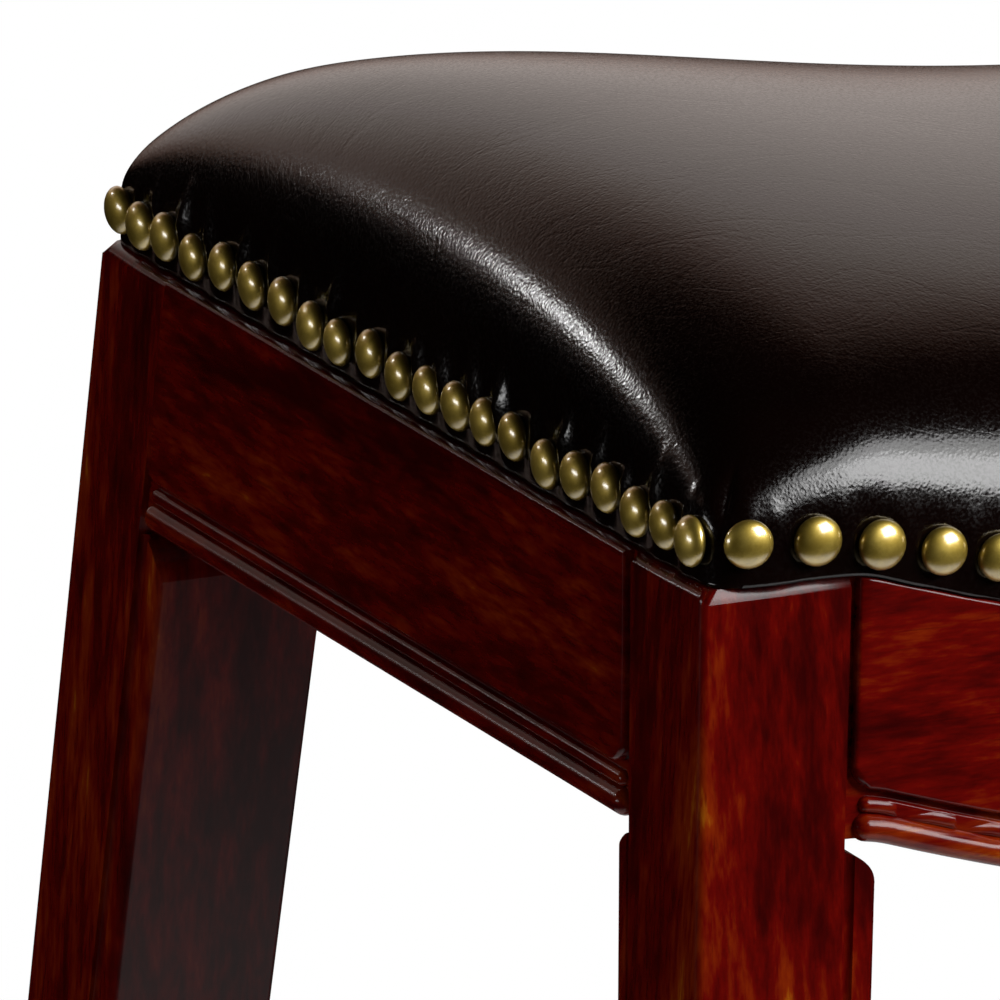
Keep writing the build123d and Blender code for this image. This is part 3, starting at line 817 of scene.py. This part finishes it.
# Way from the aim, distance, width and height, and power of each softbox
SOFTBOXES = {
    "key": ((0.585, -0.66, 0.44), 2.2, (1.55, 0.86), 46),
    "key_top": ((0.493, -0.548, 0.676), 2.2, (1.55, 0.46), 12),
    "left": ((-0.98, 0.12, 0.09), 2.4, (1.1, 0.3), 7.5),
    "back_left": ((-0.49, 0.82, 0.29), 2.6, (0.14, 0.22), 2.4),
}
FLOOR_RADIUS = 1.5
CAMERA_PLACE = (-2.5415, -5.0199, 2.2255)
CAMERA_DOWN = math.radians(15.8513)
CAMERA_TURN = math.radians(-24.8673)
CAMERA_LENS = 958.83


class STOOL_OT_stage(bpy.types.Operator):
    """Set the floor, the lights and the camera"""
    bl_idname = "stool.stage"
    bl_label = "Stage"

    def execute(self, context):
        scene = context.scene
        scene.view_settings.view_transform = "Standard"
        self.floor(scene)
        self.world(scene)
        for name, setting in SOFTBOXES.items():
            self.softbox(scene, name, *setting)
        self.camera(scene)
        return {"FINISHED"}

    def floor(self, scene):
        """Pale and shadowed under the stool, plain white further out to the camera; reflections see it
        turn black further out, a painted dark reflection.
        """
        bm = bmesh.new()
        bmesh.ops.create_circle(bm, cap_ends=True, segments=96, radius=FLOOR_RADIUS)
        mesh = bpy.data.meshes.new("floor")
        bm.to_mesh(mesh)
        bm.free()
        floor = bpy.data.objects.new("floor", mesh)
        scene.collection.objects.link(floor)
        finish = Finish("floor")
        seen = (finish.ray("camera") + finish.ray("glossy") + finish.ray("through")).clamp()
        far = finish.node("ShaderNodeVectorMath", {"operation": "LENGTH"}, {0: finish.place()}, output=1)
        share = 0.6 + 0.4 * finish.between(far, low=0.5, high=1.45)
        # Painted dark reflection: past 0.5 to 1 m from the middle, reflection rays see this floor as black
        # instead of pale
        near = 1 - finish.ray("glossy") * finish.between(far, low=0.5, high=1.0)
        pale = finish.blend(near, (0, 0, 0, 1), rgba(scene.stool_colours.floor))
        lit = finish.node("ShaderNodeBsdfDiffuse", {}, {"Color": pale})
        glow = finish.node("ShaderNodeEmission", {}, {"Color": (1, 1, 1, 1), "Strength": 1.0})
        mixed = finish.node("ShaderNodeMixShader", {}, {0: seen * near * share, 1: lit, 2: glow})
        out = finish.tree.nodes.new("ShaderNodeOutputMaterial")
        finish.tree.links.new(mixed.socket, out.inputs["Surface"])
        mesh.materials.append(finish.material)

    def world(self, scene):
        """White to the camera; reflections see a pale backdrop behind the stool and a dim room."""
        world = bpy.data.worlds.new("studio")
        scene.world = world
        world.use_nodes = True
        world.node_tree.nodes.clear()
        sky = Finish("studio", world.node_tree)
        way = sky.node("ShaderNodeTexCoord", output=GENERATED_OUTPUT)
        x, y, z = (sky.node("ShaderNodeSeparateXYZ", {}, {"Vector": way}, output=i) for i in range(3))
        behind = sky.between(y, low=0.35, high=0.72)
        under_top = 1 - sky.between(z - 0.35 * x, low=0.34, high=0.74)
        over_foot = sky.between(z + 0.3 * x, low=-0.04, high=0.16)
        backdrop = behind * under_top * over_foot * (0.5 + 0.5 * sky.between(x, low=-0.45, high=0.0))
        glossy = sky.ray("glossy")
        seen = (sky.ray("camera") + sky.ray("through")).clamp()
        strength = seen + glossy * (0.002 + 0.77 * backdrop) + 0.02 * (1 - (seen + glossy).clamp())
        warm = sky.blend(backdrop, (1, 0.5, 0.35, 1), (1, 0.87, 0.81, 1))
        tint = sky.blend(glossy, (1, 1, 1, 1), warm)
        light = sky.node("ShaderNodeBackground", {}, {"Color": tint, "Strength": strength})
        out = world.node_tree.nodes.new("ShaderNodeOutputWorld")
        world.node_tree.links.new(light.socket, out.inputs["Surface"])

    def softbox(self, scene, name, way, distance, size, power):
        lamp = bpy.data.lights.new(name, "AREA")
        lamp.shape = "RECTANGLE"
        lamp.size, lamp.size_y = size
        lamp.energy = power
        obj = bpy.data.objects.new(name, lamp)
        scene.collection.objects.link(obj)
        way = Vector(way).normalized()
        obj.location = AIM + way * distance
        obj.rotation_euler = way.to_track_quat("Z", "Y").to_euler()

    def camera(self, scene):
        camera = bpy.data.cameras.new("camera")
        camera.lens, camera.sensor_width = CAMERA_LENS, 36
        camera.clip_start, camera.clip_end = 0.5, 100
        obj = bpy.data.objects.new("camera", camera)
        scene.collection.objects.link(obj)
        obj.location = CAMERA_PLACE
        obj.rotation_euler = (math.pi / 2 - CAMERA_DOWN, 0, CAMERA_TURN)
        scene.camera = obj


class STOOL_PT_panel(bpy.types.Panel):
    """The stool's sizes and steps"""
    bl_idname = "STOOL_PT_panel"
    bl_label = "Bar stool"
    bl_space_type = "VIEW_3D"
    bl_region_type = "UI"
    bl_category = "Bar stool"

    def draw(self, context):
        for group in (context.scene.stool_seat, context.scene.stool_nails, context.scene.stool_colours):
            for name in group.__annotations__:
                self.layout.prop(group, name)
        for step in STEPS:
            self.layout.operator(step.bl_idname)


STEPS = (STOOL_OT_stage, STOOL_OT_wood, STOOL_OT_seat, STOOL_OT_nails, STOOL_OT_cloth)
CLASSES = (SeatSizes, NailSizes, StoolColours) + STEPS + (STOOL_PT_panel,)


def register():
    for item in CLASSES:
        bpy.utils.register_class(item)
    bpy.types.Scene.stool_seat = PointerProperty(type=SeatSizes)
    bpy.types.Scene.stool_nails = PointerProperty(type=NailSizes)
    bpy.types.Scene.stool_colours = PointerProperty(type=StoolColours)


def unregister():
    del bpy.types.Scene.stool_seat
    del bpy.types.Scene.stool_nails
    del bpy.types.Scene.stool_colours
    for item in reversed(CLASSES):
        bpy.utils.unregister_class(item)


def main():
    register()
    bpy.ops.stool.stage()
    bpy.ops.stool.wood()
    bpy.ops.stool.seat()
    bpy.ops.stool.nails()
    bpy.ops.stool.cloth()
    bpy.context.view_layer.update()


if __name__ == "__main__":
    main()
